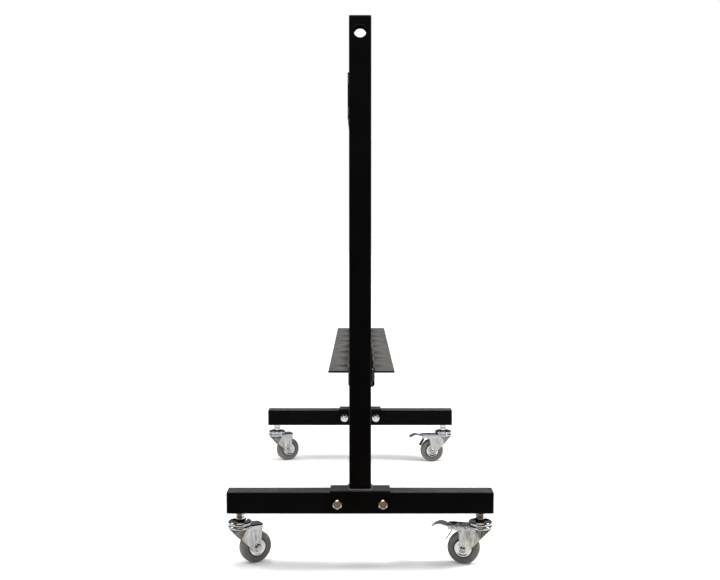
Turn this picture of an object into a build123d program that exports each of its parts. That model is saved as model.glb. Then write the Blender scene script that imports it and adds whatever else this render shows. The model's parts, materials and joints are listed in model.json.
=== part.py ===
from build123d import *

import os
from math import asin, atan2, cos, hypot, radians, sin, tan

# Rolling two-post equipment rack: two T-shaped end frames on swivel casters, joined by a
# double-winged ledge and an upper panel. X runs across the rack (along each foot), Y along the
# ledge, Z up. The origin is on the floor, under the middle of the rack. Millimetres throughout.

# End frames
tube_size = 50.0            # square tube of feet and uprights, outside
tube_wall = 2.5
tube_corner = 4.0           # outside corner radius of the tube
frame_pitch = 1067.0        # between the centre planes of the two end frames
foot_length = 610.0         # over its end caps
rack_height = 1247.0        # over the caps of the uprights

# Plastic end caps
cap_flange = 2.5
cap_plug_depth = 12.0
cap_plug_wall = 2.0
cap_plug_clearance = 0.25
cap_edge = 1.2

# Accessory hole through the top of each upright
top_bore_radius = 14.3
top_bore_drop = 35.0        # hole centre below the top of the rack

# Saddle that carries the upright on its foot
saddle_length = 137.0
saddle_plate = 5.0
saddle_skirt_gap = 4.0      # foot left showing below the saddle's cheeks
saddle_cheek_corner = 10.0
saddle_bend = 6.0

# Foot bolts and nuts
bolt_radius = 6.0
bolt_across_flats = 19.0
bolt_head_height = 7.5
bolt_hole_gap = 0.25        # radial
bolt_end_distance = 16.5    # bolt centre from the end of the saddle
bolt_turn = 30.0            # heads and nuts are tightened with a corner down
bolt_thread_beyond_nut = 4.0
nut_height = 10.8
washer_radius = 12.0
washer_thickness = 2.5
thread_gap = 0.05           # radial gap that stands for the thread in every nut
thread_end_chamfer = 1.0
hexagon_chamfer = 0.47      # radius of the turned end of a hexagon, as a share of its flats

# Ledge
ledge_lap = 12.0            # ledge runs this far past the inner faces of the uprights
ledge_top = 447.0           # top of the wings above the floor
channel_slack = 6.0         # room between the right flange and the uprights
channel_height = 44.5
channel_wall = 2.5
channel_bend = 7.0          # outside radius of the channel's lower corners
channel_lip = 8.0           # flanges stand this far above the wings
wing_width = 46.0
wing_thickness = 4.0
wing_edge = 0.8

# Upper panel
panel_end_inset = 5.0       # panel stops this far short of the outer faces of the uprights
panel_height = 101.6
panel_thickness = 3.0
panel_top_drop = 125.0      # panel's top edge below the top of the rack
panel_corner = 4.0

# Caster: stem and swivel head
stem_inset = 28.0           # stem axis from the end of the foot
stem_radius = 6.0
stem_collar_across_flats = 19.0
stem_collar_height = 14.5
stem_collar_gap = 1.4       # thread showing between the collar and the lock nut
stem_end_above_nut = 3.0
stem_head_radius = 10.0
stem_head_height = 4.5
stem_head_bevel = 2.0
stem_hole_gap = 0.6         # radial, in the foot
weld_nut_height = 10.0
race_radius = 27.5
race_height = 8.7
race_floor_height = 3.7     # floor of the dish above the underside of the race
race_floor_radius = 14.5
race_floor_rise = 1.0       # floor rises by this to the foot of the dish's wall
race_wall_run = 4.1
race_lip = 3.4              # flat lip at the top of the race
race_relief = 1.2           # underside of the race raised inside the ball track
race_rim_fillet = 3.0
race_bore_gap = 0.02        # radial, on the stem
crown_headroom = 10.3       # wheel to the underside of the crown
crown_height = 8.0
crown_web = 2.5
crown_rim = 2.5
crown_rim_fillet = 2.8
crown_dish_slope = 2.7
leg_nose_inset = 1.5        # front of the legs inside the crown's rim
race_gap = 0.3              # between the turning crown and the fixed race
running_gap = 0.05          # radial, in every running bore
ball_radius = 2.5
ball_circle_inset = 8.0     # ball circle inside the rim of the race
ball_track_half = 3.3       # half width of the flat either side of the ball groove
ball_count = 16
ball_seat_gap = 0.05
race_groove_gap = 0.3

# Caster: fork
wheel_side_gap = 3.2        # tyre to the inside of the leg
fork_plate = 2.3
fork_roof_drop = 1.0        # roof below the top of the crown
plain_tongue_reach = 16.0   # end of the roof behind the axle
brake_tongue_reach = 39.0
tongue_corner = 9.0
leg_below_axle = 8.5
leg_behind_axle = 8.5
leg_waist_reach = 7.5       # leg's rear edge behind the axle, at the waist
leg_waist_rise = 12.0       # waist above the axle
leg_shoulder_reach = 9.5
leg_shoulder_drop = 14.0    # shoulder below the crown
leg_root_reach = 12.5
leg_toe_rounding = 0.85     # share of leg_behind_axle
leg_front_distance = 12.4   # axle to the sloping front edge
brake_skirt_depth = 11.0
flank_start = 10.0          # crease between leg and front flank, at the crown
flank_nose = 9.0            # half width of the flanks at the front of the crown
flank_rake = 0.52           # crease moves forward by this per unit of drop

# Caster: wheel
wheel_radius = 37.5
tyre_width = 23.0
tyre_depth = 14.5           # tread to the seat on the hub
tyre_shoulder = 5.5
trail = 38.0
hub_boss_radius = 9.5
hub_boss_draft = 1.0        # boss is this much larger in radius at the web
hub_boss_gap = 0.7          # hub boss to dust cover
hub_web = 7.0
hub_rim_thickness = 2.5
hub_rim_recess = 1.2        # rim's side below the tyre's side
axle_radius = 4.0
axle_head_radius = 6.5
axle_head_height = 4.2
axle_nut_across_flats = 13.0
axle_nut_height = 6.5
axle_flange_radius = 8.4
axle_flange_edge = 1.0
axle_flange_height = 2.6    # top of the flange's cone, where it meets the flats
axle_thread_beyond_nut = 1.5
axle_end_chamfer = 0.8
sleeve_wall = 2.0
cover_rim_gap = 0.5         # radial, inside the hub's rim
cover_flat_radius = 9.0
cover_thickness = 0.9
cover_dish = 1.9            # rim of the dust cover inboard of its middle

# Caster: brake
brake_pin_radius = 2.5
brake_pin_behind_axle = 11.0
brake_pin_below_roof = 10.0
brake_pin_head_radius = 3.6
brake_pin_head_height = 1.2
pedal_plate = 2.0
pedal_ear_radius = 6.2
pedal_side_gap = 0.5
pedal_below_roof = 3.4
pedal_plate_start = 19.0    # behind the axle
pedal_neck_gap = 1.0        # tab starts this far behind the end of the fork's tongue
pedal_overhang = 36.0       # tip of the pedal behind the end of the tongue
pedal_tab_width = 31.0
pedal_tab_corner = 5.0
pedal_crest = 4.0           # rise of the tab, this far from its tip:
pedal_crest_from_tip = 20.0
pedal_tip_droop = 4.5
pedal_tip_slope = 0.62
pedal_ear_end = 3.0         # ears stop this far before the tab
pedal_ear_slant = 5.0
pedal_ear_depth = 3.0       # ears below the plate at their rear end
shoe_width = 22.0
shoe_plate = 2.4
shoe_tyre_gap = 5.5         # brake shoe to tread with the pedal up
shoe_flare = 3.0            # further gap at the upper end of the shoe
shoe_low_angle = 24.0       # ends of the shoe, in degrees above the trailing direction
shoe_high_angle = 54.0
shoe_lean = 2.0
shoe_tip_rise = 0.3
roof_slot_start = 5.0       # behind the axle
roof_slot_length = 24.0
roof_slot_width = 21.0
roof_slot_corner = 1.5
spring_wire = 1.2
spring_turns = 5
spring_pitch = 1.32
spring_coil_gap = 1.0       # inside of the coil to the pin
spring_arm = 7.0
spring_front_angle = 60.0   # where the coil starts, in degrees above the trailing direction
spring_rear_angle = 70.0

# Worked out from the sizes above
half_pitch = frame_pitch / 2
foot_bolt_pitch = saddle_length - 2 * bolt_end_distance
bolt_hole_radius = bolt_radius + bolt_hole_gap
foot_stem_hole_radius = stem_radius + stem_hole_gap
ledge_length = frame_pitch - tube_size + 2 * ledge_lap
channel_width = tube_size + channel_slack + 2 * channel_wall
panel_length = frame_pitch + tube_size - 2 * panel_end_inset
ball_circle_radius = race_radius - ball_circle_inset
fork_width = tyre_width + 2 * wheel_side_gap + 2 * fork_plate
tyre_seat_radius = wheel_radius - tyre_depth
hub_rim_inner_radius = tyre_seat_radius - hub_rim_thickness
cover_radius = hub_rim_inner_radius - cover_rim_gap
axle_height = wheel_radius
crown_bottom = 2 * wheel_radius + crown_headroom
crown_top = crown_bottom + crown_height
roof_top = crown_top - fork_roof_drop
roof_bottom = roof_top - fork_plate
race_bottom = crown_top + race_gap
race_floor = race_bottom + race_floor_height
race_top = race_bottom + race_height
collar_top = race_floor + stem_collar_height
foot_underside = collar_top + stem_collar_gap + nut_height
foot_middle = foot_underside + tube_size / 2
foot_top = foot_underside + tube_size
saddle_top = foot_top + saddle_plate
foot_tube_length = foot_length - 2 * cap_flange
upright_end = rack_height - cap_flange
stem_x = foot_length / 2 - stem_inset
leg_inside = fork_width / 2 - fork_plate
hub_boss_end = leg_inside - cover_thickness - hub_boss_gap
channel_x = channel_width / 2 - channel_wall - tube_size / 2
channel_top = ledge_top + channel_lip
channel_bottom = channel_top - channel_height
tongue_end = trail + brake_tongue_reach
pin_x = trail + brake_pin_behind_axle
pin_height = roof_top - brake_pin_below_roof
pedal_top = roof_top - pedal_below_roof

frames = {"front": -half_pitch, "rear": half_pitch}

# Each caster's frame, side, trailing direction in degrees about Z, and brake
casters = {
    "front_left": ("front", -1, 30.0, False),
    "rear_left": ("rear", -1, 27.0, False),
    "front_right": ("front", 1, 165.0, True),
    "rear_right": ("rear", 1, 186.5, True),
}


def rounded_bar(size, corner, length):
    return extrude(RectangleRounded(size, size, corner), length)


def square_tube(length):
    bore = rounded_bar(tube_size - 2 * tube_wall, tube_corner - tube_wall, length)
    return rounded_bar(tube_size, tube_corner, length) - bore


def turned(points):
    """A solid of revolution about Z from (radius, height) points."""
    return revolve(Plane.XZ * make_face(Polyline(*points, close=True)), Axis.Z)


def hexagon(across_flats, height, chamfered=(True, True)):
    """A hexagonal blank from z = 0, with the usual turned corners at its ends."""
    corner = across_flats / 2 / cos(radians(30))
    rim = across_flats * hexagon_chamfer
    cut = (corner - rim) * tan(radians(30))
    low, high = (cut if end else 0.0 for end in chamfered)
    points = [(0, 0), (rim if low else corner, 0), (corner, low), (corner, height - high),
              (rim if high else corner, height), (0, height)]
    outline = [p for i, p in enumerate(points) if p != points[i - 1]]
    blank = extrude(RegularPolygon(across_flats / 2, 6, major_radius=False), height)
    return blank & turned(outline)


def hex_nut(across_flats, height, thread_radius):
    bore = Pos(0, 0, height / 2) * Cylinder(thread_radius + thread_gap, height + 1)
    return hexagon(across_flats, height) - bore


def end_cap():
    """Plastic tube cap: flange from z = 0 upwards, hollow plug below."""
    flange = rounded_bar(tube_size, tube_corner, cap_flange)
    flange = fillet(flange.faces().sort_by(Axis.Z)[-1].edges(), cap_edge)
    plug_size = tube_size - 2 * tube_wall - 2 * cap_plug_clearance
    plug_corner = tube_corner - tube_wall
    plug = rounded_bar(plug_size, plug_corner, cap_plug_depth)
    hollow_size = plug_size - 2 * cap_plug_wall
    plug -= rounded_bar(hollow_size, plug_corner / 2, cap_plug_depth)
    return flange + Pos(0, 0, -cap_plug_depth) * plug


def upright(y):
    length = upright_end - saddle_top
    bore = Pos(0, 0, rack_height - top_bore_drop) * Rot(90, 0, 0)
    bore *= Cylinder(top_bore_radius, 2 * tube_size)
    return Pos(0, y, 0) * (Pos(0, 0, saddle_top) * square_tube(length) - bore)


def foot(y):
    along = Pos(-foot_tube_length / 2, 0, foot_middle) * Rot(0, 90, 0)
    tube = along * square_tube(foot_tube_length)
    for side in (-1, 1):
        tube -= Pos(side * foot_bolt_pitch / 2, 0, foot_middle) * cross_hole()
        stem_hole = Cylinder(foot_stem_hole_radius, 2 * tube_wall)
        tube -= Pos(side * stem_x, 0, foot_underside + tube_wall / 2) * stem_hole
    return Pos(0, y, 0) * tube


def cross_hole():
    return Rot(90, 0, 0) * Cylinder(bolt_hole_radius, 2 * tube_size)


def saddle(y):
    bottom = foot_underside + saddle_skirt_gap
    height = saddle_top - bottom
    blank = Pos(0, 0, bottom + height / 2)
    blank *= Box(saddle_length, tube_size + 2 * saddle_plate, height)
    blank = fillet(blank.edges().filter_by(Axis.X).group_by(Axis.Z)[-1], saddle_bend)
    blank = fillet(blank.edges().filter_by(Axis.Y).group_by(Axis.Z)[0], saddle_cheek_corner)
    room = Pos(0, 0, foot_top - height) * Box(2 * saddle_length, tube_size, 2 * height)
    blank -= room
    for side in (-1, 1):
        blank -= Pos(side * foot_bolt_pitch / 2, 0, foot_middle) * cross_hole()
    return Pos(0, y, 0) * blank


def foot_bolt_place(y, side):
    """Frame of a foot bolt: origin on the outer cheek's face, +Z into the rack."""
    outward = 1 if y > 0 else -1
    face = y + outward * (tube_size / 2 + saddle_plate)
    return Pos(side * foot_bolt_pitch / 2, face, foot_middle) * Rot(90 * outward, 0, 0) * Rot(0, 0, bolt_turn)


def foot_bolt():
    grip = tube_size + 2 * saddle_plate + washer_thickness
    length = grip + nut_height + bolt_thread_beyond_nut
    head = Pos(0, 0, -bolt_head_height) * hexagon(bolt_across_flats, bolt_head_height, (True, False))
    shank = Pos(0, 0, length / 2) * Cylinder(bolt_radius, length)
    shank = chamfer(shank.edges().filter_by(GeomType.CIRCLE).sort_by(Axis.Z)[-1], thread_end_chamfer)
    return head + shank


def foot_washer():
    ring = Cylinder(washer_radius, washer_thickness)
    ring -= Cylinder(bolt_hole_radius, washer_thickness)
    return Pos(0, 0, tube_size + 2 * saddle_plate + washer_thickness / 2) * ring


def foot_nut():
    seat = tube_size + 2 * saddle_plate + washer_thickness
    return Pos(0, 0, seat) * hex_nut(bolt_across_flats, nut_height, bolt_radius)


def ledge_channel():
    middle = (channel_bottom + channel_top) / 2
    outside = Box(channel_width, ledge_length, channel_height)
    low_edges = outside.edges().filter_by(Axis.Y).group_by(Axis.Z)[0]
    outside = fillet(low_edges, channel_bend)
    inside = Box(channel_width - 2 * channel_wall, ledge_length, channel_height)
    low_edges = inside.edges().filter_by(Axis.Y).group_by(Axis.Z)[0]
    inside = fillet(low_edges, channel_bend - channel_wall)
    trough = Pos(channel_x, 0, middle) * (outside - Pos(0, 0, channel_wall) * inside)
    for y in frames.values():
        post = Box(tube_size, tube_size, 2 * channel_height)
        trough -= Pos(0, y, middle) * post
    return trough


def ledge_wing(side):
    edge = channel_x + side * channel_width / 2
    plate = Box(wing_width, ledge_length, wing_thickness)
    outer = plate.edges().filter_by(Axis.Y).group_by(Axis.X)[-1 if side > 0 else 0]
    plate = fillet(outer, wing_edge)
    return Pos(edge + side * wing_width / 2, 0, ledge_top - wing_thickness / 2) * plate


def upper_panel():
    plate = Box(panel_thickness, panel_length, panel_height)
    plate = fillet(plate.edges().filter_by(Axis.X), panel_corner)
    top = rack_height - panel_top_drop
    return Pos(-tube_size / 2 - panel_thickness / 2, 0, top - panel_height / 2) * plate


# A caster is built with its stem on the Z axis, trailing towards +X, then turned and placed.


def stem_place(name):
    frame, side, _, _ = casters[name]
    return Pos(side * stem_x, frames[frame], 0)


def caster_place(name):
    return stem_place(name) * Rot(0, 0, casters[name][2])


def caster_stem():
    head_top = crown_bottom - race_gap
    head_bottom = head_top - stem_head_height
    end = foot_underside + tube_wall + weld_nut_height + stem_end_above_nut
    shank = turned([(0, head_bottom), (stem_head_radius - stem_head_bevel, head_bottom),
                    (stem_head_radius, head_bottom + stem_head_bevel), (stem_head_radius, head_top),
                    (stem_radius, head_top), (stem_radius, end - thread_end_chamfer),
                    (stem_radius - thread_end_chamfer, end), (0, end)])
    return shank + Pos(0, 0, race_floor) * hexagon(stem_collar_across_flats, stem_collar_height)


def lock_nut():
    return Pos(0, 0, foot_underside - nut_height) * hex_nut(bolt_across_flats, nut_height, stem_radius)


def weld_nut():
    seat = foot_underside + tube_wall
    return Pos(0, 0, seat) * hex_nut(bolt_across_flats, weld_nut_height, stem_radius)


def outer_rims(piece, radius):
    return piece.edges().filter_by(GeomType.CIRCLE).filter_by(lambda edge: edge.radius > radius - 0.01)


def top_race():
    """Dished upper race, fixed on the stem."""
    bore = stem_radius + race_bore_gap
    track = ball_circle_radius - ball_track_half
    lip = race_radius - race_lip
    dish = turned([(bore, race_bottom + race_relief), (track - race_relief, race_bottom + race_relief),
                   (track, race_bottom), (race_radius, race_bottom), (race_radius, race_top),
                   (lip, race_top), (lip - race_wall_run, race_floor + race_floor_rise),
                   (race_floor_radius, race_floor), (bore, race_floor)])
    dish = fillet(outer_rims(dish, race_radius), race_rim_fillet)
    groove = Torus(ball_circle_radius, ball_radius + race_groove_gap)
    return dish - Pos(0, 0, ball_plane()) * groove


def ball_plane():
    return crown_top + race_gap / 2


def balls():
    ring = PolarLocations(ball_circle_radius, ball_count)
    return [Pos(0, 0, ball_plane()) * place * Sphere(ball_radius) for place in ring]


def crown():
    """Round head of the fork, with the lower race in its top."""
    bore = stem_radius + running_gap
    track = ball_circle_radius - ball_track_half
    head = turned([(bore, crown_bottom), (race_radius, crown_bottom), (race_radius, crown_top),
                   (track, crown_top), (track - crown_dish_slope, crown_bottom + crown_web),
                   (bore, crown_bottom + crown_web)])
    head = fillet(outer_rims(head, race_radius), crown_rim_fillet)
    groove = Torus(ball_circle_radius, ball_radius + ball_seat_gap)
    return head - Pos(0, 0, ball_plane()) * groove


def leg_outline(reach, skirt):
    """Side view of the legs, roof and skirt as (X, Z) points, from the front of the crown.

    The sloping front edge passes the axle at leg_front_distance.
    """
    front = leg_nose_inset - race_radius
    back = trail + leg_behind_axle
    low = axle_height - leg_below_axle
    rise, run = crown_bottom - axle_height, trail - front
    slope = atan2(rise, run) + asin(leg_front_distance / hypot(rise, run))
    toe = front + (crown_bottom - low) / tan(slope)
    return [(front, roof_top), (front, crown_bottom), (toe, low), (back, low),
            (trail + leg_waist_reach, axle_height + leg_waist_rise),
            (trail + leg_shoulder_reach, crown_bottom - leg_shoulder_drop),
            (trail + leg_root_reach, roof_top - skirt), (reach, roof_top - skirt), (reach, roof_top)]


def flank_plane(side, inset):
    """Plane of the front flank on one side, moved inwards by the inset."""
    nose = Vector(leg_nose_inset - race_radius, side * flank_nose, crown_bottom)
    crease = Vector(flank_start, side * fork_width / 2, crown_bottom)
    down = Vector(-flank_rake, 0, -1)
    normal = (crease - nose).cross(down).normalized()
    if normal.Y * side < 0:
        normal = normal * -1
    return Plane(origin=crease - normal * inset, z_dir=normal)


def fork(name):
    """Pressed steel fork: crown with the lower race, roof, and two legs joined by front flanks."""
    braked = casters[name][3]
    reach = tongue_end if braked else trail + plain_tongue_reach
    skirt = brake_skirt_depth if braked else roof_top - crown_bottom
    side_view = make_face(Polyline(*leg_outline(reach, skirt), close=True))
    corners = side_view.vertices().sort_by(Axis.Y)
    side_view = fillet(corners[:2], leg_behind_axle * leg_toe_rounding)
    body = extrude(Plane.XZ * side_view, fork_width / 2, both=True)
    end_face = body.faces().sort_by(Axis.X)[-1]
    body = fillet(end_face.edges().filter_by(Axis.Z), tongue_corner)
    for side in (-1, 1):
        body = split(body, bisect_by=flank_plane(side, 0), keep=Keep.BOTTOM)
    roof_edges = body.edges().group_by(Axis.Z)[-1]
    front = roof_edges.sort_by(Axis.X)[0]
    body = fillet([e for e in roof_edges if e != front], fork_plate + 1)

    start = -2 * race_radius
    opening = reach + 1 if braked else reach - fork_plate
    skirt_bottom = roof_top - skirt
    room = Pos((start + opening) / 2, 0, roof_bottom / 2) * Box(opening - start, 2 * leg_inside, roof_bottom)
    if not braked:
        room = fillet(room.faces().sort_by(Axis.X)[-1].edges().filter_by(Axis.Z), tongue_corner - fork_plate)
    room += Pos(reach / 2, 0, skirt_bottom / 2) * Box(reach, 2 * leg_inside, skirt_bottom)
    for side in (-1, 1):
        room = split(room, bisect_by=flank_plane(side, fork_plate), keep=Keep.BOTTOM)
    body -= room

    middle = Pos(0, 0, (crown_bottom + race_top) / 2)
    body -= middle * Cylinder(race_radius - crown_rim, race_top - crown_bottom)
    body += crown()
    body -= on_axle(Cylinder(axle_radius + running_gap, 2 * fork_width))
    if braked:
        body -= on_pin(Cylinder(brake_pin_radius + running_gap / 2, 2 * fork_width))
        slot = Box(roof_slot_length, roof_slot_width, 4 * fork_plate)
        slot = fillet(slot.edges().filter_by(Axis.Z), roof_slot_corner)
        body -= Pos(trail + roof_slot_start + roof_slot_length / 2, 0, roof_top) * slot
    return body


# Wheel and brake pieces are built on the Z axis, then laid on the axle or on the pedal's pin.


def on_axle(piece):
    return Pos(trail, 0, axle_height) * Rot(90, 0, 0) * piece


def on_pin(piece):
    return Pos(pin_x, 0, pin_height) * Rot(90, 0, 0) * piece


def axle_bolt():
    """Domed bolt, its head at the low end of the axis."""
    outside = fork_width / 2
    end = outside + axle_nut_height + axle_thread_beyond_nut
    shank = turned([(0, -outside), (axle_radius, -outside), (axle_radius, end - axle_end_chamfer),
                    (axle_radius - axle_end_chamfer, end), (0, end)])
    dome_radius = (axle_head_radius ** 2 + axle_head_height ** 2) / (2 * axle_head_height)
    dome = Pos(0, 0, dome_radius - outside - axle_head_height) * Sphere(dome_radius)
    dome &= Pos(0, 0, -outside - axle_head_height / 2) * Cylinder(axle_head_radius, axle_head_height)
    return on_axle(shank + dome)


def axle_nut():
    """Hexagon nut with a flange that bears on the leg."""
    blank = hex_nut(axle_nut_across_flats, axle_nut_height, axle_radius)
    bore = axle_radius + thread_gap
    blank += turned([(bore, 0), (axle_flange_radius, 0), (axle_flange_radius, axle_flange_edge),
                     (axle_nut_across_flats / 2, axle_flange_height), (bore, axle_flange_height)])
    return on_axle(Pos(0, 0, fork_width / 2) * blank)


def axle_sleeve():
    half = leg_inside - cover_thickness
    bore = axle_radius + running_gap
    outside = axle_radius + sleeve_wall
    return on_axle(turned([(bore, -half), (outside, -half), (outside, half), (bore, half)]))


def dust_covers():
    """Two dished covers clamped between the sleeve and the legs."""
    bore = axle_radius + running_gap
    rim = leg_inside - cover_dish
    cover = turned([(bore, leg_inside), (bore, leg_inside - cover_thickness),
                    (cover_flat_radius, leg_inside - cover_thickness), (cover_radius, rim - cover_thickness),
                    (cover_radius, rim), (cover_flat_radius, leg_inside)])
    return [on_axle(cover), on_axle(Rot(180, 0, 0) * cover)]


def hub():
    bore = axle_radius + sleeve_wall + running_gap
    rim = tyre_width / 2 - hub_rim_recess
    half = [(bore, hub_boss_end), (hub_boss_radius, hub_boss_end),
            (hub_boss_radius + hub_boss_draft, hub_web / 2), (hub_rim_inner_radius, hub_web / 2),
            (hub_rim_inner_radius, rim), (tyre_seat_radius, rim)]
    return on_axle(turned(half + [(r, -z) for r, z in reversed(half)]))


def tyre():
    side = tyre_width / 2
    blank = turned([(tyre_seat_radius, -side), (wheel_radius, -side), (wheel_radius, side),
                    (tyre_seat_radius, side)])
    return on_axle(fillet(outer_rims(blank, wheel_radius), tyre_shoulder))


def brake_pin():
    half = fork_width / 2
    end = half + brake_pin_head_height
    bevel = brake_pin_head_height / 2
    points = [(0, -end), (brake_pin_head_radius - bevel, -end), (brake_pin_head_radius, bevel - end),
              (brake_pin_head_radius, -half), (brake_pin_radius, -half)]
    return on_pin(turned(points + [(r, -z) for r, z in reversed(points)]))


def around_wheel(radius, angle):
    """A point beside the wheel, at an angle in degrees above the trailing direction."""
    return trail + radius * cos(radians(angle)), axle_height + radius * sin(radians(angle))


def brake_pedal():
    """Foot lever: plate and tab, two ears on the pin, and the shoe that meets the tread."""
    under = pedal_top - pedal_plate
    start = trail + pedal_plate_start
    tip = tongue_end + pedal_overhang
    ear_side = leg_inside - pedal_side_gap
    top = Spline((start, pedal_top), (tongue_end - pedal_plate, pedal_top),
                 (tip - pedal_crest_from_tip, pedal_top + pedal_crest), (tip, pedal_top - pedal_tip_droop),
                 tangents=((1, 0), (1, -pedal_tip_slope)))
    lower = Pos(0, -pedal_plate) * top
    ends = [Line(top @ 0, lower @ 0), Line(top @ 1, lower @ 1)]
    strip = extrude(Plane.XZ * make_face([top, lower, *ends]), pedal_tab_width / 2, both=True)
    neck_end = tongue_end + pedal_neck_gap
    neck = neck_end + pedal_tab_corner + pedal_neck_gap - start
    tab = tip - neck_end
    plan = Pos(start + neck / 2, 0) * Rectangle(neck, 2 * ear_side)
    plan += Pos(neck_end + tab / 2, 0) * RectangleRounded(tab, pedal_tab_width, pedal_tab_corner)
    strip &= extrude(plan, 2 * roof_top)

    eye = Pos(pin_x, pin_height) * Circle(pedal_ear_radius)
    ear_end = neck_end - pedal_ear_end
    arm = make_face(Polyline((pin_x, pin_height - pedal_ear_radius),
                             (ear_end - pedal_ear_slant, under - pedal_ear_depth), (ear_end, under),
                             (ear_end, pedal_top), (start, pedal_top),
                             (pin_x, pin_height + pedal_ear_radius), close=True))
    ear = extrude(Plane.XZ * (eye + arm), pedal_plate)
    pedal = strip + Pos(0, ear_side, 0) * ear + Pos(0, pedal_plate - ear_side, 0) * ear
    pedal -= on_pin(Cylinder(brake_pin_radius + running_gap, fork_width))
    return pedal + brake_shoe(under + pedal_plate / 2)


def brake_shoe(root_height):
    """Flap from the pedal's plate down behind the wheel, its lower part facing the tread."""
    low = around_wheel(wheel_radius + shoe_tyre_gap, shoe_low_angle)
    high = around_wheel(wheel_radius + shoe_tyre_gap + shoe_flare, shoe_high_angle)
    root = (high[0] - shoe_lean, root_height)
    back = [(low[0] + shoe_plate, low[1] + shoe_tip_rise), (high[0] + shoe_plate, high[1] + shoe_tip_rise),
            (root[0] + shoe_plate, root[1])]
    side_view = make_face(Polyline(root, high, low, *back, close=True))
    return extrude(Plane.XZ * side_view, shoe_width / 2, both=True)


def brake_spring():
    """Torsion spring round the pedal's pin, with an arm towards the roof and one towards the pedal."""
    turns = spring_turns + (spring_rear_angle - spring_front_angle) / 360
    coil = brake_pin_radius + spring_coil_gap + spring_wire / 2
    helix = Helix(spring_pitch, spring_pitch * turns, coil)
    wire = sweep(Plane(origin=helix @ 0, z_dir=helix % 0) * Circle(spring_wire / 2), helix, is_frenet=True)
    for end, outward in ((0, -1), (1, 1)):
        direction = (helix % end) * outward
        wire += Plane(origin=helix @ end, z_dir=direction) * Pos(0, 0, spring_arm / 2) \
            * Cylinder(spring_wire / 2, spring_arm)
    middle = Pos(0, 0, -spring_pitch * turns / 2)
    return on_pin(Rot(180, 0, 0) * Rot(0, 0, -spring_front_angle) * middle * wire)


def save(name, shape):
    solids = shape if isinstance(shape, list) else [shape]
    shape = Compound(children=solids) if len(solids) > 1 else solids[0]
    shape.label = name
    export_step(shape, f"parts/{name}.step")


def structure():
    """The two welded end frames, the ledge and the panel, with their caps and fasteners."""
    sides = (-1, 1)
    places = [foot_bolt_place(y, side) for y in frames.values() for side in sides]
    pieces = {}
    for name, y in frames.items():
        pieces[f"{name}_foot"] = foot(y)
        pieces[f"{name}_saddle"] = saddle(y)
        pieces[f"{name}_upright"] = upright(y)
    pieces["upright_caps"] = [Pos(0, y, upright_end) * end_cap() for y in frames.values()]
    pieces["foot_end_caps"] = [Pos(side * foot_tube_length / 2, y, foot_middle) * Rot(0, 90 * side, 0)
                               * end_cap() for y in frames.values() for side in sides]
    pieces["ledge_channel"] = ledge_channel()
    pieces["left_ledge_wing"] = ledge_wing(-1)
    pieces["right_ledge_wing"] = ledge_wing(1)
    pieces["upper_panel"] = upper_panel()
    pieces["foot_bolts"] = [place * foot_bolt() for place in places]
    pieces["foot_bolt_washers"] = [place * foot_washer() for place in places]
    pieces["foot_bolt_nuts"] = [place * foot_nut() for place in places]
    for node, make in (("caster_stems", caster_stem), ("caster_top_races", top_race),
                       ("caster_lock_nuts", lock_nut), ("caster_weld_nuts", weld_nut)):
        pieces[node] = [stem_place(name) * make() for name in casters]
    return pieces


def caster(name):
    """The pieces of one caster that turn with its fork or its wheel."""
    pieces = {"swivel_balls": balls(), "fork": fork(name), "axle_bolt": axle_bolt(), "axle_nut": axle_nut(),
              "axle_sleeve": axle_sleeve(), "dust_covers": dust_covers(), "hub": hub(), "tyre": tyre()}
    if casters[name][3]:
        pieces.update(brake_pedal=brake_pedal(), brake_pin=brake_pin(), brake_spring=brake_spring())
    place = caster_place(name)
    return {f"{name}_{node}": [place * s for s in shape] if isinstance(shape, list) else place * shape
            for node, shape in pieces.items()}


os.makedirs("parts", exist_ok=True)
model = structure()
for caster_name in casters:
    model.update(caster(caster_name))
for node, piece in model.items():
    save(node, piece)
print(len(model), "nodes")
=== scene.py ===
import bpy
import json
import random
from math import atan2, cos, pi, radians, sin
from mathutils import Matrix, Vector


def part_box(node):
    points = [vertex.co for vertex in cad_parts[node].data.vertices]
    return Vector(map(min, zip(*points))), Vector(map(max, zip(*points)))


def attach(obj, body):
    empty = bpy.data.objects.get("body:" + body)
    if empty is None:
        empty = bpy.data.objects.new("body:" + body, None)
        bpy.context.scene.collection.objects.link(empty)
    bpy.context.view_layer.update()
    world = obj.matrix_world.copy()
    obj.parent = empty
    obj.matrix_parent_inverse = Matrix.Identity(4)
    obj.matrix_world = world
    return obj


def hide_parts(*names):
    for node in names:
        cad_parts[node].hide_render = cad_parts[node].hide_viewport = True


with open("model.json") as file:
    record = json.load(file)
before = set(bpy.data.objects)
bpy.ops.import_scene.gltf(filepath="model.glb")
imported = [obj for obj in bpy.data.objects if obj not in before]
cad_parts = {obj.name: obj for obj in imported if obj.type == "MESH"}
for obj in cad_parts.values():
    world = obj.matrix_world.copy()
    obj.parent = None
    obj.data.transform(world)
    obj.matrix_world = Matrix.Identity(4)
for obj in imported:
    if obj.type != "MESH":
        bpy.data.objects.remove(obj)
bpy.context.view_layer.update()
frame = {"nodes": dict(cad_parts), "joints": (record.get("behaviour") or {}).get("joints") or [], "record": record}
joints = {joint["name"]: joint for joint in frame["joints"]}
slotOf = {part["node"]: part["material_slot"] for part in frame["record"]["subparts"]}
corners = ["front_left", "rear_left", "front_right", "rear_right"]
mm = 0.001
print("frame loaded:", len(frame["nodes"]), "nodes")

# the camera: metres back from the near upright, above the floor and aside, degrees of tilt, lens in mm
shot = {"back": 2.31, "height": 0.7713, "side": -0.0003, "down": 3.35, "lens": 51.4, "sensor": 36}


def clearSelection():
    bpy.ops.object.select_all(action="DESELECT")


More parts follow.
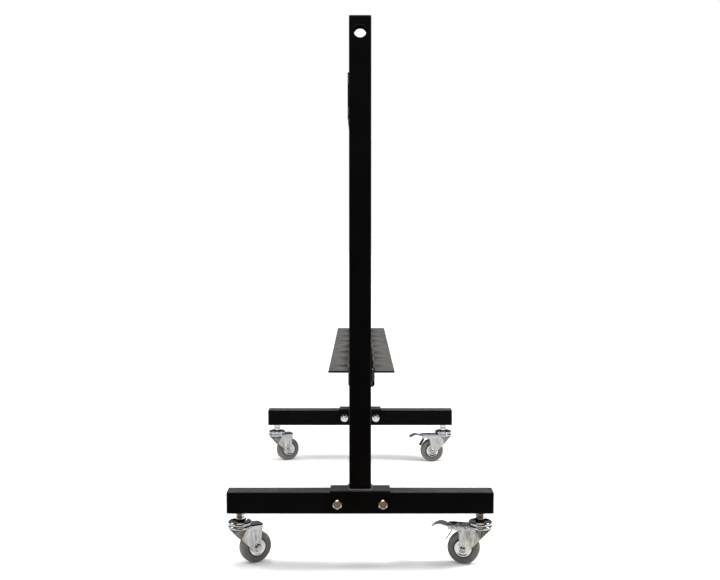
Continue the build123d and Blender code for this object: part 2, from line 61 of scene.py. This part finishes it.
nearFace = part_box("front_upright")[0].y
clearSelection()
bpy.ops.object.camera_add(location=(shot["side"], nearFace - shot["back"], shot["height"]),
                          rotation=(radians(90 - shot["down"]), 0, 0))
camera = bpy.context.object
camera.name = "studioCamera"
camera.data.lens = shot["lens"]
camera.data.sensor_width = shot["sensor"]
bpy.context.scene.camera = camera
bpy.context.scene.view_settings.view_transform = "Standard"
print("camera set")


def newMaterial(name):
    # a Principled material, with its nodes, links, shader and Object coordinates at hand
    material = bpy.data.materials.new(name)
    material.use_nodes = True
    nodes = material.node_tree.nodes
    shader = nodes["Principled BSDF"]
    coords = nodes.new("ShaderNodeTexCoord")
    return material, nodes, material.node_tree.links, shader, coords.outputs["Object"]


def noise(nodes, links, vector, scale, detail=4.0, rough=0.55, stretch=(1, 1, 1)):
    mapping = nodes.new("ShaderNodeMapping")
    mapping.inputs["Scale"].default_value = stretch
    links.new(vector, mapping.inputs["Vector"])
    texture = nodes.new("ShaderNodeTexNoise")
    texture.inputs["Scale"].default_value = scale
    texture.inputs["Detail"].default_value = detail
    texture.inputs["Roughness"].default_value = rough
    links.new(mapping.outputs["Vector"], texture.inputs["Vector"])
    return texture.outputs["Fac"]


def span(nodes, links, value, fromLow, fromHigh, toLow, toHigh):
    reach = nodes.new("ShaderNodeMapRange")
    reach.inputs["From Min"].default_value = fromLow
    reach.inputs["From Max"].default_value = fromHigh
    reach.inputs["To Min"].default_value = toLow
    reach.inputs["To Max"].default_value = toHigh
    links.new(value, reach.inputs["Value"])
    return reach.outputs["Result"]


def blend(nodes, links, factor, first, second):
    mix = nodes.new("ShaderNodeMix")
    mix.data_type = "RGBA"
    links.new(factor, mix.inputs[0])
    for socket, colour in ((mix.inputs[6], first), (mix.inputs[7], second)):
        if isinstance(colour, tuple):
            socket.default_value = (*colour, 1)
        else:
            links.new(colour, socket)
    return mix.outputs[2]


def maths(nodes, links, operation, first, second):
    step = nodes.new("ShaderNodeMath")
    step.operation = operation
    for socket, value in zip(step.inputs, (first, second)):
        if isinstance(value, (int, float)):
            socket.default_value = value
        else:
            links.new(value, socket)
    return step.outputs["Value"]


def bump(nodes, links, height, depth, strength, under=None):
    node = nodes.new("ShaderNodeBump")
    node.inputs["Distance"].default_value = depth
    node.inputs["Strength"].default_value = strength
    links.new(height, node.inputs["Height"])
    if under:
        links.new(under, node.inputs["Normal"])
    return node.outputs["Normal"]


def component(nodes, links, vector, axis):
    split = nodes.new("ShaderNodeSeparateXYZ")
    links.new(vector, split.inputs["Vector"])
    return split.outputs[axis]


# dust is the paler tone laid on what faces up: partly dust, partly painted light for the bright surroundings that
# top faces reflect
coat = {"black": (0.0009, 0.0008, 0.0008), "grey": (0.0019, 0.0018, 0.0017), "gloss": (0.40, 0.50),
        "ior": 1.13, "beadIor": 1.9, "cloudScale": 9, "speckScale": 420,
        "peelScale": 850, "peelDepth": 0.00012, "waveDepth": 0.0035, "waveFrom": (0.030, 0.066),
        "dust": (0.105, 0.099, 0.093), "dustAndPaintedLightScale": 26, "dustAndPaintedLightFrom": (0.75, 0.98),
        "dustSheen": 0.35, "dustVeil": 0.6, "dustTint": (1.0, 0.97, 0.94)}

# the ledge's stitch welds, in millimetres: its beads and the dips in its sheet both follow them
stitch = {"length": 26.0, "radius": 3.0, "firstFromEnd": 90.0, "pitch": 140.0}


def facingUp(nodes, links):
    # 1 on faces that look straight up, 0 on walls
    geometry = nodes.new("ShaderNodeNewGeometry")
    up = component(nodes, links, geometry.outputs["Normal"], "Z")
    return span(nodes, links, up, *coat["dustAndPaintedLightFrom"], 0.0, 1.0)


def stitchWave(nodes, links, place):
    # 0 to 1, highest at each stitch and beside the welded edge, broken up by noise
    drift = span(nodes, links, noise(nodes, links, place, 1.0, 3, 0.6, (26, 12, 9)), 0.3, 0.7, -1.2, 1.2)
    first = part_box("left_ledge_wing")[0].y + stitch["firstFromEnd"] * mm
    fromFirst = maths(nodes, links, "SUBTRACT", component(nodes, links, place, "Y"), first)
    turn = maths(nodes, links, "MULTIPLY", fromFirst, 2 * pi / (stitch["pitch"] * mm))
    swing = maths(nodes, links, "COSINE", maths(nodes, links, "ADD", turn, drift), 0.0)
    across = maths(nodes, links, "ABSOLUTE", component(nodes, links, place, "X"), 0.0)
    near = span(nodes, links, across, *coat["waveFrom"], 1.0, 0.12)
    return maths(nodes, links, "MULTIPLY", span(nodes, links, swing, -0.5, 1.0, 0.0, 1.0), near)


def powderCoat(name, wavy, ior):
    # satin black powder coat: orange peel, cloudy gloss, and on what faces up a paler tone with a sheen layer that
    # is partly dust and partly painted light
    material, nodes, links, shader, place = newMaterial(name)
    cloud = noise(nodes, links, place, coat["cloudScale"], 6)
    speck = noise(nodes, links, place, coat["speckScale"], 3, 0.7)
    colour = blend(nodes, links, span(nodes, links, cloud, 0.35, 0.7, 0, 1), coat["black"], coat["grey"])
    dustAndPaintedLightNoise = noise(nodes, links, place, coat["dustAndPaintedLightScale"], 8, 0.65)
    dustAndPaintedLightCloud = span(nodes, links, dustAndPaintedLightNoise, 0.35, 0.75, 0.30, 0.55)
    under = None
    if wavy:  # sheet drawn in at its stitch welds: dips that fade out towards the edge, painted darker in the dips and lighter between them
        wave = stitchWave(nodes, links, place)
        # painted shade: less of the paler top tone in the dips at the stitches, more between them
        dipPaintedShade = span(nodes, links, wave, 0.2, 0.9, 1.4, 0.45)
        dustAndPaintedLightCloud = maths(nodes, links, "MULTIPLY", dustAndPaintedLightCloud, dipPaintedShade)
        under = bump(nodes, links, wave, -coat["waveDepth"], 1.0)
    # painted light and dust: what faces up is lightened towards the dust tone, and its sheen follows the same mask
    dust = maths(nodes, links, "MULTIPLY", dustAndPaintedLightCloud, facingUp(nodes, links))
    links.new(blend(nodes, links, dust, colour, coat["dust"]), shader.inputs["Base Color"])
    shader.inputs["Sheen Roughness"].default_value = coat["dustSheen"]
    shader.inputs["Sheen Tint"].default_value = (*coat["dustTint"], 1)
    links.new(maths(nodes, links, "MULTIPLY", dust, coat["dustVeil"]), shader.inputs["Sheen Weight"])
    sheen = span(nodes, links, cloud, 0.3, 0.7, *coat["gloss"])
    fine = span(nodes, links, speck, 0.3, 0.75, -0.03, 0.05)
    links.new(maths(nodes, links, "ADD", sheen, fine), shader.inputs["Roughness"])
    shader.inputs["IOR"].default_value = ior
    peel = noise(nodes, links, place, coat["peelScale"], 2, 0.5)
    links.new(bump(nodes, links, peel, coat["peelDepth"], 0.55, under), shader.inputs["Normal"])
    return material


# legTop is how high above the floor a fork's legs end and its head begins
zinc = {"bright": (0.62, 0.63, 0.62), "blue": (0.50, 0.55, 0.57), "straw": (0.58, 0.51, 0.42),
        "legDark": (0.20, 0.20, 0.19), "head": (0.33, 0.34, 0.35), "stain": (0.36, 0.29, 0.21),
        "mirror": 0.06, "milk": 0.32, "legTop": 0.083, "cloudScale": 55, "tintScale": 32, "grainScale": 300,
        "streakScale": 130, "stainScale": 48, "dentScale": 70, "dentDepth": 0.0006, "grainDepth": 0.00006}


def zincPlate(name, milky, paintedShadeShare):
    # bright zinc: mirror-like where turned or rolled, milky and streaked on pressed legs; the share argument mixes
    # in painted shade, a darker zinc tone standing in for the dark surroundings it reflects
    material, nodes, links, shader, place = newMaterial(name)
    shader.inputs["Metallic"].default_value = 1
    clouds = noise(nodes, links, place, zinc["cloudScale"], 5, 0.6)
    tint = noise(nodes, links, place, zinc["tintScale"], 3, 0.5, (1, 1, 0.45))
    warm = blend(nodes, links, span(nodes, links, clouds, 0.4, 0.68, 0, 0.75), zinc["bright"], zinc["straw"])
    colour = blend(nodes, links, span(nodes, links, tint, 0.42, 0.66, 0, 0.8), warm, zinc["blue"])
    grain = noise(nodes, links, place, zinc["grainScale"], 3, 0.6)
    gloss = span(nodes, links, grain, 0.3, 0.75, zinc["mirror"] * 0.7, zinc["mirror"] * 1.8)
    if milky:
        streaks = noise(nodes, links, place, zinc["streakScale"], 5, 0.7, (1, 1, 0.2))
        stain = noise(nodes, links, place, zinc["stainScale"], 6, 0.7, (1, 1, 0.5))
        colour = blend(nodes, links, span(nodes, links, streaks, 0.35, 0.66, 0, 1), zinc["legDark"], colour)
        colour = blend(nodes, links, span(nodes, links, stain, 0.52, 0.68, 0, 0.7), colour, zinc["stain"])
        dull = span(nodes, links, streaks, 0.32, 0.7, zinc["milk"] * 0.7, zinc["milk"] * 1.25)
        height = component(nodes, links, place, "Z")
        onLeg = span(nodes, links, height, zinc["legTop"] - 4 * mm, zinc["legTop"], 1, 0)
        choose = nodes.new("ShaderNodeMix")
        links.new(onLeg, choose.inputs[0])
        links.new(gloss, choose.inputs[2])
        links.new(dull, choose.inputs[3])
        gloss = choose.outputs[0]
        # painted shade: the fork's head above legTop takes the darker zinc tone
        colour = blend(nodes, links, onLeg, zinc["head"], colour)
    else:
        share = span(nodes, links, clouds, 0.3, 0.7, paintedShadeShare, paintedShadeShare + 0.1)
        colour = blend(nodes, links, share, colour, zinc["head"])
    links.new(colour, shader.inputs["Base Color"])
    links.new(gloss, shader.inputs["Roughness"])
    dents = noise(nodes, links, place, zinc["dentScale"], 2, 0.5)
    under = bump(nodes, links, dents, zinc["dentDepth"], 0.35)
    links.new(bump(nodes, links, grain, zinc["grainDepth"], 0.25, under), shader.inputs["Normal"])
    return material


pedal = {"plate": (0.36, 0.385, 0.42), "cloud": (0.28, 0.30, 0.33), "shoe": (0.020, 0.019, 0.018),
         "shoeTop": 0.0775, "cloudScale": 70, "grainScale": 420, "grainDepth": 0.00006}


def pedalPlate(name):
    # satin blue-grey zinc above; below shoeTop the shoe is painted near black, dull and not metal: painted shade
    material, nodes, links, shader, place = newMaterial(name)
    cloud = noise(nodes, links, place, pedal["cloudScale"], 5, 0.6)
    height = component(nodes, links, place, "Z")
    onShoe = span(nodes, links, height, pedal["shoeTop"] - 2 * mm, pedal["shoeTop"], 1, 0)
    plate = blend(nodes, links, span(nodes, links, cloud, 0.35, 0.68, 0, 1), pedal["plate"], pedal["cloud"])
    # painted shade: the shoe below shoeTop is near black and barely reflects
    links.new(blend(nodes, links, onShoe, plate, pedal["shoe"]), shader.inputs["Base Color"])
    links.new(span(nodes, links, onShoe, 0, 1, 1, 0), shader.inputs["Metallic"])
    links.new(span(nodes, links, onShoe, 0, 1, 1.45, 1.06), shader.inputs["IOR"])
    sheen = span(nodes, links, cloud, 0.3, 0.7, 0.24, 0.36)
    shoeDull = maths(nodes, links, "MULTIPLY", onShoe, 0.5)
    links.new(maths(nodes, links, "ADD", sheen, shoeDull), shader.inputs["Roughness"])
    grain = noise(nodes, links, place, pedal["grainScale"], 3)
    links.new(bump(nodes, links, grain, pedal["grainDepth"], 0.3), shader.inputs["Normal"])
    return material


bareSteel = {"cool": (0.42, 0.42, 0.43), "warm": (0.56, 0.54, 0.51), "gloss": (0.18, 0.36),
             "filmScale": 90, "grainScale": 500, "grainDepth": 0.00005}


def plainSteel(name):
    material, nodes, links, shader, place = newMaterial(name)
    shader.inputs["Metallic"].default_value = 1
    film = noise(nodes, links, place, bareSteel["filmScale"], 5, 0.6)
    links.new(blend(nodes, links, film, bareSteel["cool"], bareSteel["warm"]), shader.inputs["Base Color"])
    links.new(span(nodes, links, film, 0.3, 0.7, *bareSteel["gloss"]), shader.inputs["Roughness"])
    grain = noise(nodes, links, place, bareSteel["grainScale"], 3)
    links.new(bump(nodes, links, grain, bareSteel["grainDepth"], 0.3), shader.inputs["Normal"])
    return material


plastic = {"cap": ((0.006, 0.006, 0.006), (0.012, 0.012, 0.012), 0.45),
           "hub": ((0.010, 0.010, 0.010), (0.022, 0.021, 0.020), 0.42),
           "cloudScale": 40, "grainScale": 1500, "grainDepth": 0.00008}


def mouldedPlastic(name, dark, light, gloss):
    # fine spark-eroded grain
    material, nodes, links, shader, place = newMaterial(name)
    cloud = noise(nodes, links, place, plastic["cloudScale"], 4)
    links.new(blend(nodes, links, cloud, dark, light), shader.inputs["Base Color"])
    grain = noise(nodes, links, place, plastic["grainScale"], 2, 0.6)
    links.new(span(nodes, links, grain, 0.3, 0.7, gloss - 0.06, gloss + 0.08), shader.inputs["Roughness"])
    links.new(bump(nodes, links, grain, plastic["grainDepth"], 0.5), shader.inputs["Normal"])
    return material


rubber = {"dark": (0.115, 0.104, 0.096), "light": (0.165, 0.150, 0.139), "dust": (0.30, 0.28, 0.26),
          "gloss": (0.50, 0.62), "cloudScale": 60, "dustAndPaintedLightScale": 240, "skinScale": 1100, "skinDepth": 0.0001}


def greyRubber(name):
    # warm grey rubber, a little paler where floor dust has settled into it
    material, nodes, links, shader, place = newMaterial(name)
    cloud = span(nodes, links, noise(nodes, links, place, rubber["cloudScale"], 6, 0.6), 0.32, 0.7, 0, 1)
    colour = blend(nodes, links, cloud, rubber["dark"], rubber["light"])
    dust = span(nodes, links, noise(nodes, links, place, rubber["dustAndPaintedLightScale"], 6, 0.75), 0.58, 0.8, 0, 0.35)
    links.new(blend(nodes, links, dust, colour, rubber["dust"]), shader.inputs["Base Color"])
    links.new(span(nodes, links, cloud, 0, 1, *rubber["gloss"]), shader.inputs["Roughness"])
    skin = noise(nodes, links, place, rubber["skinScale"], 3, 0.6)
    links.new(bump(nodes, links, skin, rubber["skinDepth"], 0.6), shader.inputs["Normal"])
    return material


blackCoat = powderCoat("blackPowderCoat", False, coat["ior"])
wavyCoat = powderCoat("blackPowderCoatOnSheet", True, coat["ior"])
beadCoat = powderCoat("blackPowderCoatOnBead", False, coat["beadIor"])  # glossier, so that its ripples show
# the plain zinc copies differ only in their share of painted shade
zincMirror = zincPlate("zincPlate", False, 0.1)
zincLegs = zincPlate("zincPlatePressed", True, 0.0)
zincCover = zincPlate("zincPlateCover", False, 0.5)
zincPaintedShade = zincPlate("zincPlatePaintedShade", False, 0.85)
zincPedal = pedalPlate("zincPlatePedal")
steel = plainSteel("plainSteel")
capPlastic = mouldedPlastic("capPlastic", *plastic["cap"])
hubPlastic = mouldedPlastic("hubPlastic", *plastic["hub"])
tyreRubber = greyRubber("greyRubber")
finishes = {"black_powder_coat": blackCoat, "zinc_plate": zincMirror, "plain_steel": steel,
            "black_plastic": capPlastic, "hub_plastic": hubPlastic, "grey_rubber": tyreRubber}

# nodes whose finish isn't their slot's plain one, by how their names end
special = {"ledge_channel": wavyCoat, "_ledge_wing": wavyCoat, "upper_panel": wavyCoat,
           "_fork": zincLegs, "_brake_pedal": zincPedal, "_brake_pin": zincPaintedShade,
           "_axle_nut": zincPaintedShade, "_axle_bolt": zincPaintedShade, "caster_top_races": zincPaintedShade,
           "caster_stems": zincCover, "caster_lock_nuts": zincCover}


def dress(piece, material):
    piece.data.materials.clear()
    piece.data.materials.append(material)


for node, piece in frame["nodes"].items():
    material = finishes[slotOf[node]]
    for ending in special:
        if node.endswith(ending):
            material = special[ending]
    for slot in piece.material_slots:
        slot.material = material
print("finishes set")


def pinPoint(name, place):
    # a plane pinched to a single point, left in edit mode to be drawn out
    clearSelection()
    bpy.ops.mesh.primitive_plane_add(size=mm, location=place)
    piece = bpy.context.object
    piece.name = name
    bpy.ops.object.transform_apply(location=True)
    bpy.ops.object.mode_set(mode="EDIT")
    bpy.ops.mesh.select_all(action="SELECT")
    bpy.ops.mesh.merge(type="CENTER")
    return piece


def drawOut(points):
    for here, there in zip(points, points[1:]):
        bpy.ops.mesh.extrude_region_move(TRANSFORM_OT_translate={"value": there - here})


def spunRing(name, outline, steps):
    # outline of (radius, offset) points in millimetres, spun about the Y axis
    points = [Vector((radius, offset, 0)) * mm for radius, offset in outline]
    piece = pinPoint(name, points[0])
    drawOut(points)
    bpy.ops.mesh.select_all(action="SELECT")
    bpy.ops.mesh.remove_doubles(threshold=0.01 * mm)
    bpy.ops.mesh.select_all(action="SELECT")
    bpy.ops.mesh.spin(steps=steps, angle=2 * pi, center=(0, 0, 0), axis=(0, 1, 0))
    bpy.ops.mesh.select_all(action="SELECT")
    bpy.ops.mesh.remove_doubles(threshold=0.01 * mm)
    bpy.ops.mesh.normals_make_consistent(inside=False)
    bpy.ops.object.mode_set(mode="OBJECT")
    bpy.ops.object.shade_smooth_by_angle(angle=radians(32))
    return piece


def placeCopy(master, name, place, turn=0.0):
    clearSelection()
    master.select_set(True)
    bpy.context.view_layer.objects.active = master
    bpy.ops.object.duplicate()
    piece = bpy.context.object
    piece.name = piece.data.name = name
    piece.location = place
    piece.rotation_euler.z = turn
    bpy.ops.object.transform_apply(location=True, rotation=True, scale=True)
    return piece


def joined(pieces, name):
    clearSelection()
    for piece in pieces:
        piece.select_set(True)
    bpy.context.view_layer.objects.active = pieces[0]
    bpy.ops.object.join()
    piece = bpy.context.object
    piece.name = piece.data.name = name
    return piece


def wheelPlace(corner):
    joint = joints[corner + "_wheel_spin"]
    across = joint["axis"]
    return Vector(joint["pos_m"]), atan2(-across[0], across[1])


# a crowned tread with a parting line, and two ribs (radius, width, height) on each sidewall
tyre = {"radius": 37.5, "seat": 23.0, "halfWidth": 11.5, "shoulder": 5.5, "shoulderSteps": 8,
        "treadFall": 0.14, "crownHalf": 3.0, "partingHalf": 0.35,
        "ribs": ((26.0, 1.8, 0.7), (31.0, 1.4, 0.45)), "steps": 120}


def tyreSide():
    # from the seat out over one sidewall to the tread, as (radius, offset)
    half, centre = tyre["halfWidth"], tyre["radius"] - tyre["shoulder"]
    side = [(tyre["seat"], half - 0.6), (tyre["seat"] + 0.6, half)]
    for radius, width, rise in tyre["ribs"]:
        side += [(radius - width / 2, half - rise), (radius - width / 4, half),
                 (radius + width / 4, half), (radius + width / 2, half - rise)]
    for step in range(tyre["shoulderSteps"] + 1):
        angle = radians(90 - step * 90 / tyre["shoulderSteps"])
        reach = tyre["shoulder"] - tyre["treadFall"] * (step / tyre["shoulderSteps"])
        side.append((centre + reach * cos(angle), half - tyre["shoulder"] + tyre["shoulder"] * sin(angle)))
    return side


def tyreOutline():
    side = tyreSide()
    radius, fall, edge = tyre["radius"], tyre["treadFall"], tyre["partingHalf"]
    crown = [(radius - fall * 0.6, tyre["crownHalf"]), (radius - fall * 0.5, edge), (radius, edge * 0.4)]
    half = side + crown
    return half + [(radius, -offset) for radius, offset in reversed(half)] + [half[0]]


tyreMaster = spunRing("tyreMaster", tyreOutline(), tyre["steps"])
dress(tyreMaster, tyreRubber)
for corner in corners:
    piece = placeCopy(tyreMaster, corner + "_moulded_tyre", *wheelPlace(corner))
    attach(piece, corner + "_wheel")
    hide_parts(corner + "_tyre")
bpy.data.objects.remove(tyreMaster)
print("tyres made")


# pressed rings (radius, drop from the outer face) and a turned-in rim
cover = {"bore": 4.1, "face": 14.7, "wall": 0.8, "steps": 96,
         "rings": ((8.4, 0.0), (9.2, 1.5), (11.0, 1.05), (12.8, 1.0), (13.4, 2.4), (14.4, 2.4), (17.2, 1.6),
                   (19.3, 1.5), (19.9, 1.9), (20.0, 3.2))}


def coverOutline():
    rings = [(radius, cover["face"] - drop) for radius, drop in cover["rings"]]
    return [(cover["bore"], cover["face"])] + rings


def thicken(piece, wall):
    clearSelection()
    piece.select_set(True)
    bpy.context.view_layer.objects.active = piece
    solid = piece.modifiers.new("wall", "SOLIDIFY")
    solid.thickness = wall
    solid.offset = -1
    solid.use_even_offset = True
    bpy.ops.object.modifier_apply(modifier=solid.name)


def faceOutwards(piece):
    # an open shell's pressed face has to look outwards before it gets its wall
    if piece.data.polygons[0].normal.y >= 0:
        return
    clearSelection()
    piece.select_set(True)
    bpy.context.view_layer.objects.active = piece
    bpy.ops.object.mode_set(mode="EDIT")
    bpy.ops.mesh.select_all(action="SELECT")
    bpy.ops.mesh.flip_normals()
    bpy.ops.object.mode_set(mode="OBJECT")


coverMaster = spunRing("coverMaster", coverOutline(), cover["steps"])
faceOutwards(coverMaster)
thicken(coverMaster, cover["wall"] * mm)
dress(coverMaster, zincCover)
for corner in corners:
    place, turn = wheelPlace(corner)
    pair = [placeCopy(coverMaster, "coverHalf", place, way) for way in (turn, turn + pi)]
    piece = joined(pair, corner + "_pressed_covers")
    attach(piece, corner + "_caster")
    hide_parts(corner + "_dust_covers")
bpy.data.objects.remove(coverMaster)
print("dust covers made")


# a bead is a wire drawn along its joint, rippled and given a round section
weld = {"ripple": 2.6, "swell": 0.17, "uneven": 0.03, "wander": 0.12, "sides": 3, "step": 0.8,
        "endTaper": 3.0, "endSize": 0.35}
chance = random.Random(41)


def splitLongEdges(piece):
    # cuts every edge into steps short enough to carry the ripples
    bpy.ops.object.mode_set(mode="OBJECT")
    mesh = piece.data
    ends = [[mesh.vertices[index].co for index in edge.vertices] for edge in mesh.edges]
    lengths = [(first - second).length for first, second in ends]
    longest = max(lengths)
    for edge, length in zip(mesh.edges, lengths):
        edge.select = length > 0.5 * longest
    for vertex in mesh.vertices:
        vertex.select = False
    bpy.ops.object.mode_set(mode="EDIT")
    bpy.ops.mesh.select_mode(type="EDGE")
    bpy.ops.mesh.subdivide(number_cuts=int(longest / (weld["step"] * mm)))
    bpy.ops.mesh.select_mode(type="VERT")
    bpy.ops.object.mode_set(mode="OBJECT")


def rippledBead(piece, radius, closed):
    bpy.ops.object.convert(target="CURVE")
    piece = bpy.context.object
    piece.data.bevel_depth = radius * mm
    piece.data.bevel_resolution = weld["sides"]
    piece.data.use_fill_caps = not closed
    points = piece.data.splines[0].points
    travelled = [0.0]
    for before, after in zip(points, points[1:]):
        travelled.append(travelled[-1] + (after.co - before.co).length / mm)
    for point, along in zip(points, travelled):
        phase = (along / weld["ripple"]) % 1.0
        size = 1 - weld["swell"] * phase + chance.uniform(-weld["uneven"], weld["uneven"])
        if not closed:
            fromEnd = min(along, travelled[-1] - along)
            size *= min(1.0, weld["endSize"] + (1 - weld["endSize"]) * fromEnd / weld["endTaper"])
        point.radius = size
        for axis in range(3):
            point.co[axis] += chance.uniform(-1, 1) * weld["wander"] * mm
    bpy.ops.object.convert(target="MESH")
    piece = bpy.context.object
    bpy.ops.object.mode_set(mode="EDIT")
    bpy.ops.mesh.select_all(action="SELECT")
    bpy.ops.mesh.remove_doubles(threshold=0.005 * mm)
    bpy.ops.mesh.normals_make_consistent(inside=False)
    bpy.ops.object.mode_set(mode="OBJECT")
    bpy.ops.object.shade_smooth_by_angle(angle=radians(50))
    dress(piece, beadCoat)
    return piece


def straightBead(name, start, end, radius):
    piece = pinPoint(name, start)
    drawOut([start, end])
    splitLongEdges(piece)
    return rippledBead(piece, radius, False)


def fixWeld(piece, name):
    piece.name = piece.data.name = name
    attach(piece, "frame")


saddleWeld = {"radius": 3.4, "corner": 4.0, "cornerSteps": 5, "stand": 0.6}


def loopBead(name, upright, height):
    # round the foot of an upright
    low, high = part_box(upright)
    middle = (low + high) / 2
    size = high.x - low.x + 2 * saddleWeld["stand"] * mm
    clearSelection()
    bpy.ops.mesh.primitive_plane_add(size=size, location=(middle.x, middle.y, height))
    piece = bpy.context.object
    bpy.ops.object.transform_apply(location=True)
    bpy.ops.object.mode_set(mode="EDIT")
    bpy.ops.mesh.select_all(action="SELECT")
    bpy.ops.mesh.delete(type="ONLY_FACE")
    bpy.ops.mesh.select_all(action="SELECT")
    bpy.ops.mesh.bevel(offset=saddleWeld["corner"] * mm, segments=saddleWeld["cornerSteps"],
                       affect="VERTICES")
    splitLongEdges(piece)
    return rippledBead(piece, saddleWeld["radius"], True)


for end in ("front", "rear"):
    low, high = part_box(end + "_upright")
    bead = loopBead("bead", end + "_upright", low.z + saddleWeld["stand"] * mm)
    fixWeld(bead, end + "_saddle_weld")
print("saddle welds made")


def ledgeStitches():
    # short fillets where each wing meets its flange, from above
    left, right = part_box("left_ledge_wing"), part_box("right_ledge_wing")
    halfLong = stitch["length"] / 2 * mm
    beads = []
    for low, high, inner in ((*left, left[1].x), (*right, right[0].x)):
        start, end = Vector((inner, -halfLong, high.z)), Vector((inner, halfLong, high.z))
        master = straightBead("stitchMaster", start, end, stitch["radius"])
        along = low.y + stitch["firstFromEnd"] * mm
        while along < high.y - halfLong:
            beads.append(placeCopy(master, "stitch", (0, along, 0)))
            along += stitch["pitch"] * mm
        bpy.data.objects.remove(master)
    return joined(beads, "ledge_stitch_welds")


fixWeld(ledgeStitches(), "ledge_stitch_welds")

endWeld = {"radius": 2.6, "gapRadius": 3.4, "gapInset": 1.2, "fromBottom": 10.0, "fromTop": 1.5}


def ledgeEndWelds():
    # upright beads where the channel's flanges lie beside each upright
    low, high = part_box("ledge_channel")
    beads = []
    for end, y in (("front", low.y), ("rear", high.y)):
        postLow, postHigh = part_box(end + "_upright")
        gap = (postHigh.x + high.x) / 2 - endWeld["gapInset"] * mm
        for x, radius in ((postLow.x, endWeld["radius"]), (gap, endWeld["gapRadius"])):
            bottom = Vector((x, y, low.z + endWeld["fromBottom"] * mm))
            top = Vector((x, y, high.z - endWeld["fromTop"] * mm))
            beads.append(straightBead("bead", bottom, top, radius))
    return joined(beads, "ledge_end_welds")


fixWeld(ledgeEndWelds(), "ledge_end_welds")

panelWeld = {"radius": 2.2, "length": 20.0, "fromEdge": 15.0, "sunk": 0.4}


def panelWelds():
    # two stitches at each end of the panel, on the side of the upright
    low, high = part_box("upper_panel")
    half = panelWeld["length"] / 2 * mm
    x = high.x - panelWeld["sunk"] * mm
    beads = []
    for y in (low.y, high.y):
        for middle in (low.z + panelWeld["fromEdge"] * mm, high.z - panelWeld["fromEdge"] * mm):
            start, end = Vector((x, y, middle - half)), Vector((x, y, middle + half))
            beads.append(straightBead("bead", start, end, panelWeld["radius"]))
    return joined(beads, "panel_welds")


fixWeld(panelWelds(), "panel_welds")
print("ledge and panel welds made")


studio = {"floorSize": 60.0, "floor": (0.93, 0.93, 0.93), "floorLight": (0.95, 0.945, 0.94),
          "glowFrom": (1.1, 3.0), "glow": (0.12, 0.95),
          "room": (0.030, 0.024, 0.021), "white": (1.0, 1.0, 1.0),
          "backFrom": (0.10, 0.55), "backLevel": 0.20, "topFrom": (0.80, 0.92),
          "card": (0.30, 0.19, 0.125), "cardSize": (5.0, 4.0), "cardAhead": 2.25, "cardUp": 0.002}


def emissive(name, colour):
    material = bpy.data.materials.new(name)
    material.use_nodes = True
    nodes = material.node_tree.nodes
    nodes.clear()
    glow = nodes.new("ShaderNodeEmission")
    glow.inputs["Color"].default_value = (*colour, 1)
    glow.inputs["Strength"].default_value = 1.0
    output = nodes.new("ShaderNodeOutputMaterial")
    material.node_tree.links.new(glow.outputs[0], output.inputs["Surface"])
    return material


def paperFloor():
    clearSelection()
    bpy.ops.mesh.primitive_plane_add(size=studio["floorSize"], location=(0, 0, 0))
    piece = bpy.context.object
    piece.name = "studioFloor"
    material, nodes, links, shader, place = newMaterial("paleFloor")
    shade = noise(nodes, links, place, 1.2, 3)
    away = nodes.new("ShaderNodeVectorMath")  # the sheet is lit up evenly towards the horizon
    away.operation = "LENGTH"
    links.new(place, away.inputs[0])
    glow = span(nodes, links, away.outputs["Value"], *studio["glowFrom"], *studio["glow"])
    shader.inputs["Emission Color"].default_value = (1, 1, 1, 1)
    links.new(glow, shader.inputs["Emission Strength"])
    links.new(blend(nodes, links, shade, studio["floor"], studio["floorLight"]), shader.inputs["Base Color"])
    shader.inputs["Roughness"].default_value = 0.9
    shader.inputs["Specular IOR Level"].default_value = 0.1
    dress(piece, material)


def warmCard():
    # a brown card on the floor in front of the rack, seen only as a reflection in its metal
    clearSelection()
    place = (0, nearFace - studio["cardAhead"], studio["cardUp"])
    bpy.ops.mesh.primitive_plane_add(size=1, location=place)
    piece = bpy.context.object
    piece.name = "warmCard"
    piece.scale = (*studio["cardSize"], 1)
    bpy.ops.object.transform_apply(location=True, scale=True)
    dress(piece, emissive("warmCard", studio["card"]))
    piece.visible_camera = False
    piece.visible_diffuse = False
    piece.visible_shadow = False
    piece.visible_transmission = False


def room():
    # white backdrop and ceiling; the dark walls at the sides and in front show only as reflections
    world = bpy.data.worlds.new("studioRoom")
    bpy.context.scene.world = world
    world.use_nodes = True
    nodes, links = world.node_tree.nodes, world.node_tree.links
    background = nodes["Background"]
    way = nodes.new("ShaderNodeTexCoord").outputs["Generated"]
    behind, above = component(nodes, links, way, "Y"), component(nodes, links, way, "Z")
    backdrop = span(nodes, links, behind, *studio["backFrom"], 0, studio["backLevel"])
    ceiling = span(nodes, links, above, *studio["topFrom"], 0, 1)
    seen = nodes.new("ShaderNodeLightPath")
    walls = maths(nodes, links, "MAXIMUM", backdrop, ceiling)
    lit = maths(nodes, links, "MAXIMUM", walls, seen.outputs["Is Camera Ray"])
    links.new(blend(nodes, links, lit, studio["room"], studio["white"]), background.inputs["Color"])
    background.inputs["Strength"].default_value = 1.0


# name, place in metres, turn in degrees, size in metres, power in watts
lamps = (("topBox", (0.0, -0.2, 3.2), (0, 0, 0), (2.6, 2.6), 90),
         ("leftBox", (-2.1, -0.2, 1.9), (48, 0, -88), (0.6, 0.8), 24),
         ("rightBox", (2.1, -0.3, 1.9), (48, 0, 88), (0.5, 0.7), 52),
         ("frontBox", (-0.4, -3.1, 2.7), (50, 0, -8), (2.6, 0.5), 22))


def softBoxes():
    for name, place, turn, size, power in lamps:
        clearSelection()
        bpy.ops.object.light_add(type="AREA", location=place, rotation=[radians(angle) for angle in turn])
        lamp = bpy.context.object
        lamp.name = name
        lamp.data.shape = "RECTANGLE"
        lamp.data.size, lamp.data.size_y = size
        lamp.data.energy = power


paperFloor()
warmCard()
room()
softBoxes()
print("studio set")
